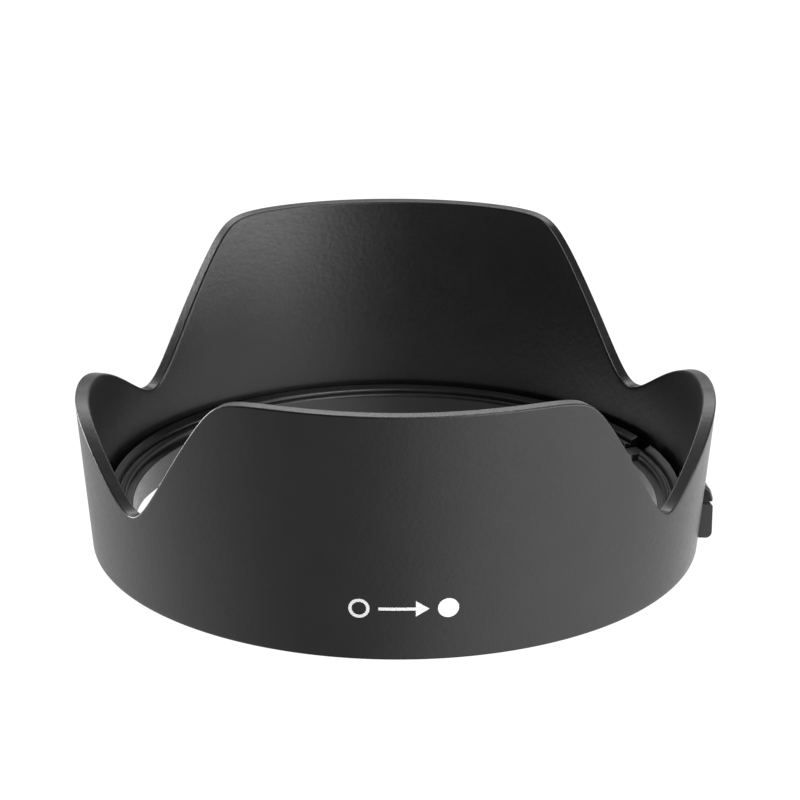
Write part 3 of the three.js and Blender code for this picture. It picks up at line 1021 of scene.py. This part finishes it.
def direction_to(azimuth, elevation):
    tilt = math.radians(elevation)
    return Vector((*polar(math.cos(tilt), azimuth, 0)[:2], math.sin(tilt)))


def camera():
    data = bpy.data.cameras.new("camera")
    data.lens = CAMERA_LENS
    data.sensor_width = 36
    data.shift_x, data.shift_y = CAMERA_SHIFT
    data.clip_start = 0.01
    data.clip_end = 20
    made = bpy.data.objects.new("camera", data)
    bpy.context.scene.collection.objects.link(made)
    away = direction_to(CAMERA_AZIMUTH, CAMERA_ELEVATION)
    made.location = CAMERA_TARGET + away * CAMERA_DISTANCE
    roll = Matrix.Rotation(math.radians(CAMERA_ROLL), 4, "Z")
    made.rotation_euler = (away.to_track_quat("Z", "Y").to_matrix().to_4x4() @ roll).to_euler()
    bpy.context.scene.camera = made


def softbox(name, azimuth, elevation, distance, size, radiance):
    """Soft light that faces the hood and is hidden from the camera, with a face of one radiance."""
    data = bpy.data.lights.new(name, "AREA")
    data.shape = "RECTANGLE"
    data.size, data.size_y = size
    data.energy = radiance * math.pi * size[0] * size[1]
    made = bpy.data.objects.new(name, data)
    bpy.context.scene.collection.objects.link(made)
    away = direction_to(azimuth, elevation)
    made.location = CAMERA_TARGET + away * distance
    made.rotation_euler = away.to_track_quat("Z", "Y").to_euler()
    made.visible_camera = False


# Soft brightness of the surroundings: (azimuth, elevation, angle it spreads over, radiance)
SURROUNDINGS = (
    (-30, -28, 60, 1.6),
    (-110, -28, 55, 0.5),
    (65, -28, 55, 1.3),
    (160, -28, 60, 1.05),
    (120, 55, 50, 0.6),
)
BACKDROP_RADIANCE = 1.1


def bright_patch(tree, view, azimuth, elevation, spread, radiance):
    """Brightness that one patch adds in the direction of view."""
    towards = tree.nodes.new("ShaderNodeVectorMath")
    towards.operation = "DOT_PRODUCT"
    towards.inputs[1].default_value = direction_to(azimuth, elevation)
    tree.links.new(view, towards.inputs[0])
    patch = tree.nodes.new("ShaderNodeMapRange")
    patch.interpolation_type = "SMOOTHSTEP"
    patch.inputs["From Min"].default_value = math.cos(math.radians(spread))
    patch.inputs["To Max"].default_value = radiance
    tree.links.new(towards.outputs["Value"], patch.inputs["Value"])
    return patch.outputs[0]


def summed(tree, values):
    total = values[0]
    for value in values[1:]:
        both = tree.nodes.new("ShaderNodeMath")
        tree.links.new(total, both.inputs[0])
        tree.links.new(value, both.inputs[1])
        total = both.outputs[0]
    return total


def studio_world():
    """A white backdrop for the camera. The hood itself sees dim surroundings with soft bright patches."""
    world = bpy.data.worlds.new("studio")
    world.use_nodes = True
    tree = world.node_tree
    tree.nodes.clear()
    view = tree.nodes.new("ShaderNodeTexCoord").outputs["Generated"]
    patches = [bright_patch(tree, view, *patch) for patch in SURROUNDINGS]
    around = tree.nodes.new("ShaderNodeBackground")
    tree.links.new(summed(tree, patches), around.inputs["Strength"])
    backdrop = tree.nodes.new("ShaderNodeBackground")
    backdrop.inputs["Strength"].default_value = BACKDROP_RADIANCE
    for node in (around, backdrop):
        node.inputs["Color"].default_value = (1, 1, 1, 1)
    rays = tree.nodes.new("ShaderNodeLightPath")
    mix = tree.nodes.new("ShaderNodeMixShader")
    tree.links.new(rays.outputs["Is Camera Ray"], mix.inputs[0])
    tree.links.new(around.outputs[0], mix.inputs[1])
    tree.links.new(backdrop.outputs[0], mix.inputs[2])
    output = tree.nodes.new("ShaderNodeOutputWorld")
    tree.links.new(mix.outputs[0], output.inputs["Surface"])
    bpy.context.scene.world = world


FLOOR_HALF = 3.0
FLOOR_GLOW = 0.93


def pale_floor():
    """Plain white table top, for the camera only, and clear from below.

    Most of its brightness is its own glow, so that the hood's shadow on it stays faint.
    """
    corners = [(-FLOOR_HALF, -FLOOR_HALF, 0), (FLOOR_HALF, -FLOOR_HALF, 0),
               (FLOOR_HALF, FLOOR_HALF, 0), (-FLOOR_HALF, FLOOR_HALF, 0)]
    made = new_object("floor", corners, [(0, 1, 2, 3)])
    if made.data.polygons[0].normal.z < 0:
        made.data.flip_normals()
    nodes = Nodes("pale_floor")
    tree = nodes.tree
    nodes.finish(Base_Color=(0.8, 0.8, 0.8, 1), Roughness=0.8, Specular_IOR_Level=0.2)
    glow = nodes.add("ShaderNodeEmission", {"Strength": BACKDROP_RADIANCE})
    lit = nodes.add("ShaderNodeMixShader", {0: FLOOR_GLOW, 1: nodes.shader.outputs[0], 2: glow.outputs[0]})
    side = nodes.add("ShaderNodeNewGeometry")
    clear = nodes.add("ShaderNodeBsdfTransparent")
    both = nodes.add("ShaderNodeMixShader", {0: side.outputs["Backfacing"], 1: lit.outputs[0],
                                             2: clear.outputs[0]})
    tree.links.new(both.outputs[0], tree.nodes["Material Output"].inputs["Surface"])
    made.data.materials.append(nodes.material)
    made.visible_diffuse = False
    made.visible_glossy = False
    made.visible_shadow = False


camera()
studio_world()
pale_floor()
softbox("key_light", -30, 6, 0.6, (0.95, 0.31), 5.4)
softbox("high_light", -50, 55, 0.6, (0.31, 0.31), 7.0)
softbox("back_light", 92, 38, 0.28, (0.4, 0.1), 3.6)
softbox("side_light", 150, 6, 0.6, (0.31, 0.31), 13.5)
bpy.context.scene.view_settings.view_transform = "Standard"

hood_shell()
bayonet_ring()
release_button()
latch_lever()
pivot_pin()
latch_spring()
for screw_node in SCREW_NODES:
    ring_screw(screw_node)
printed_mark()
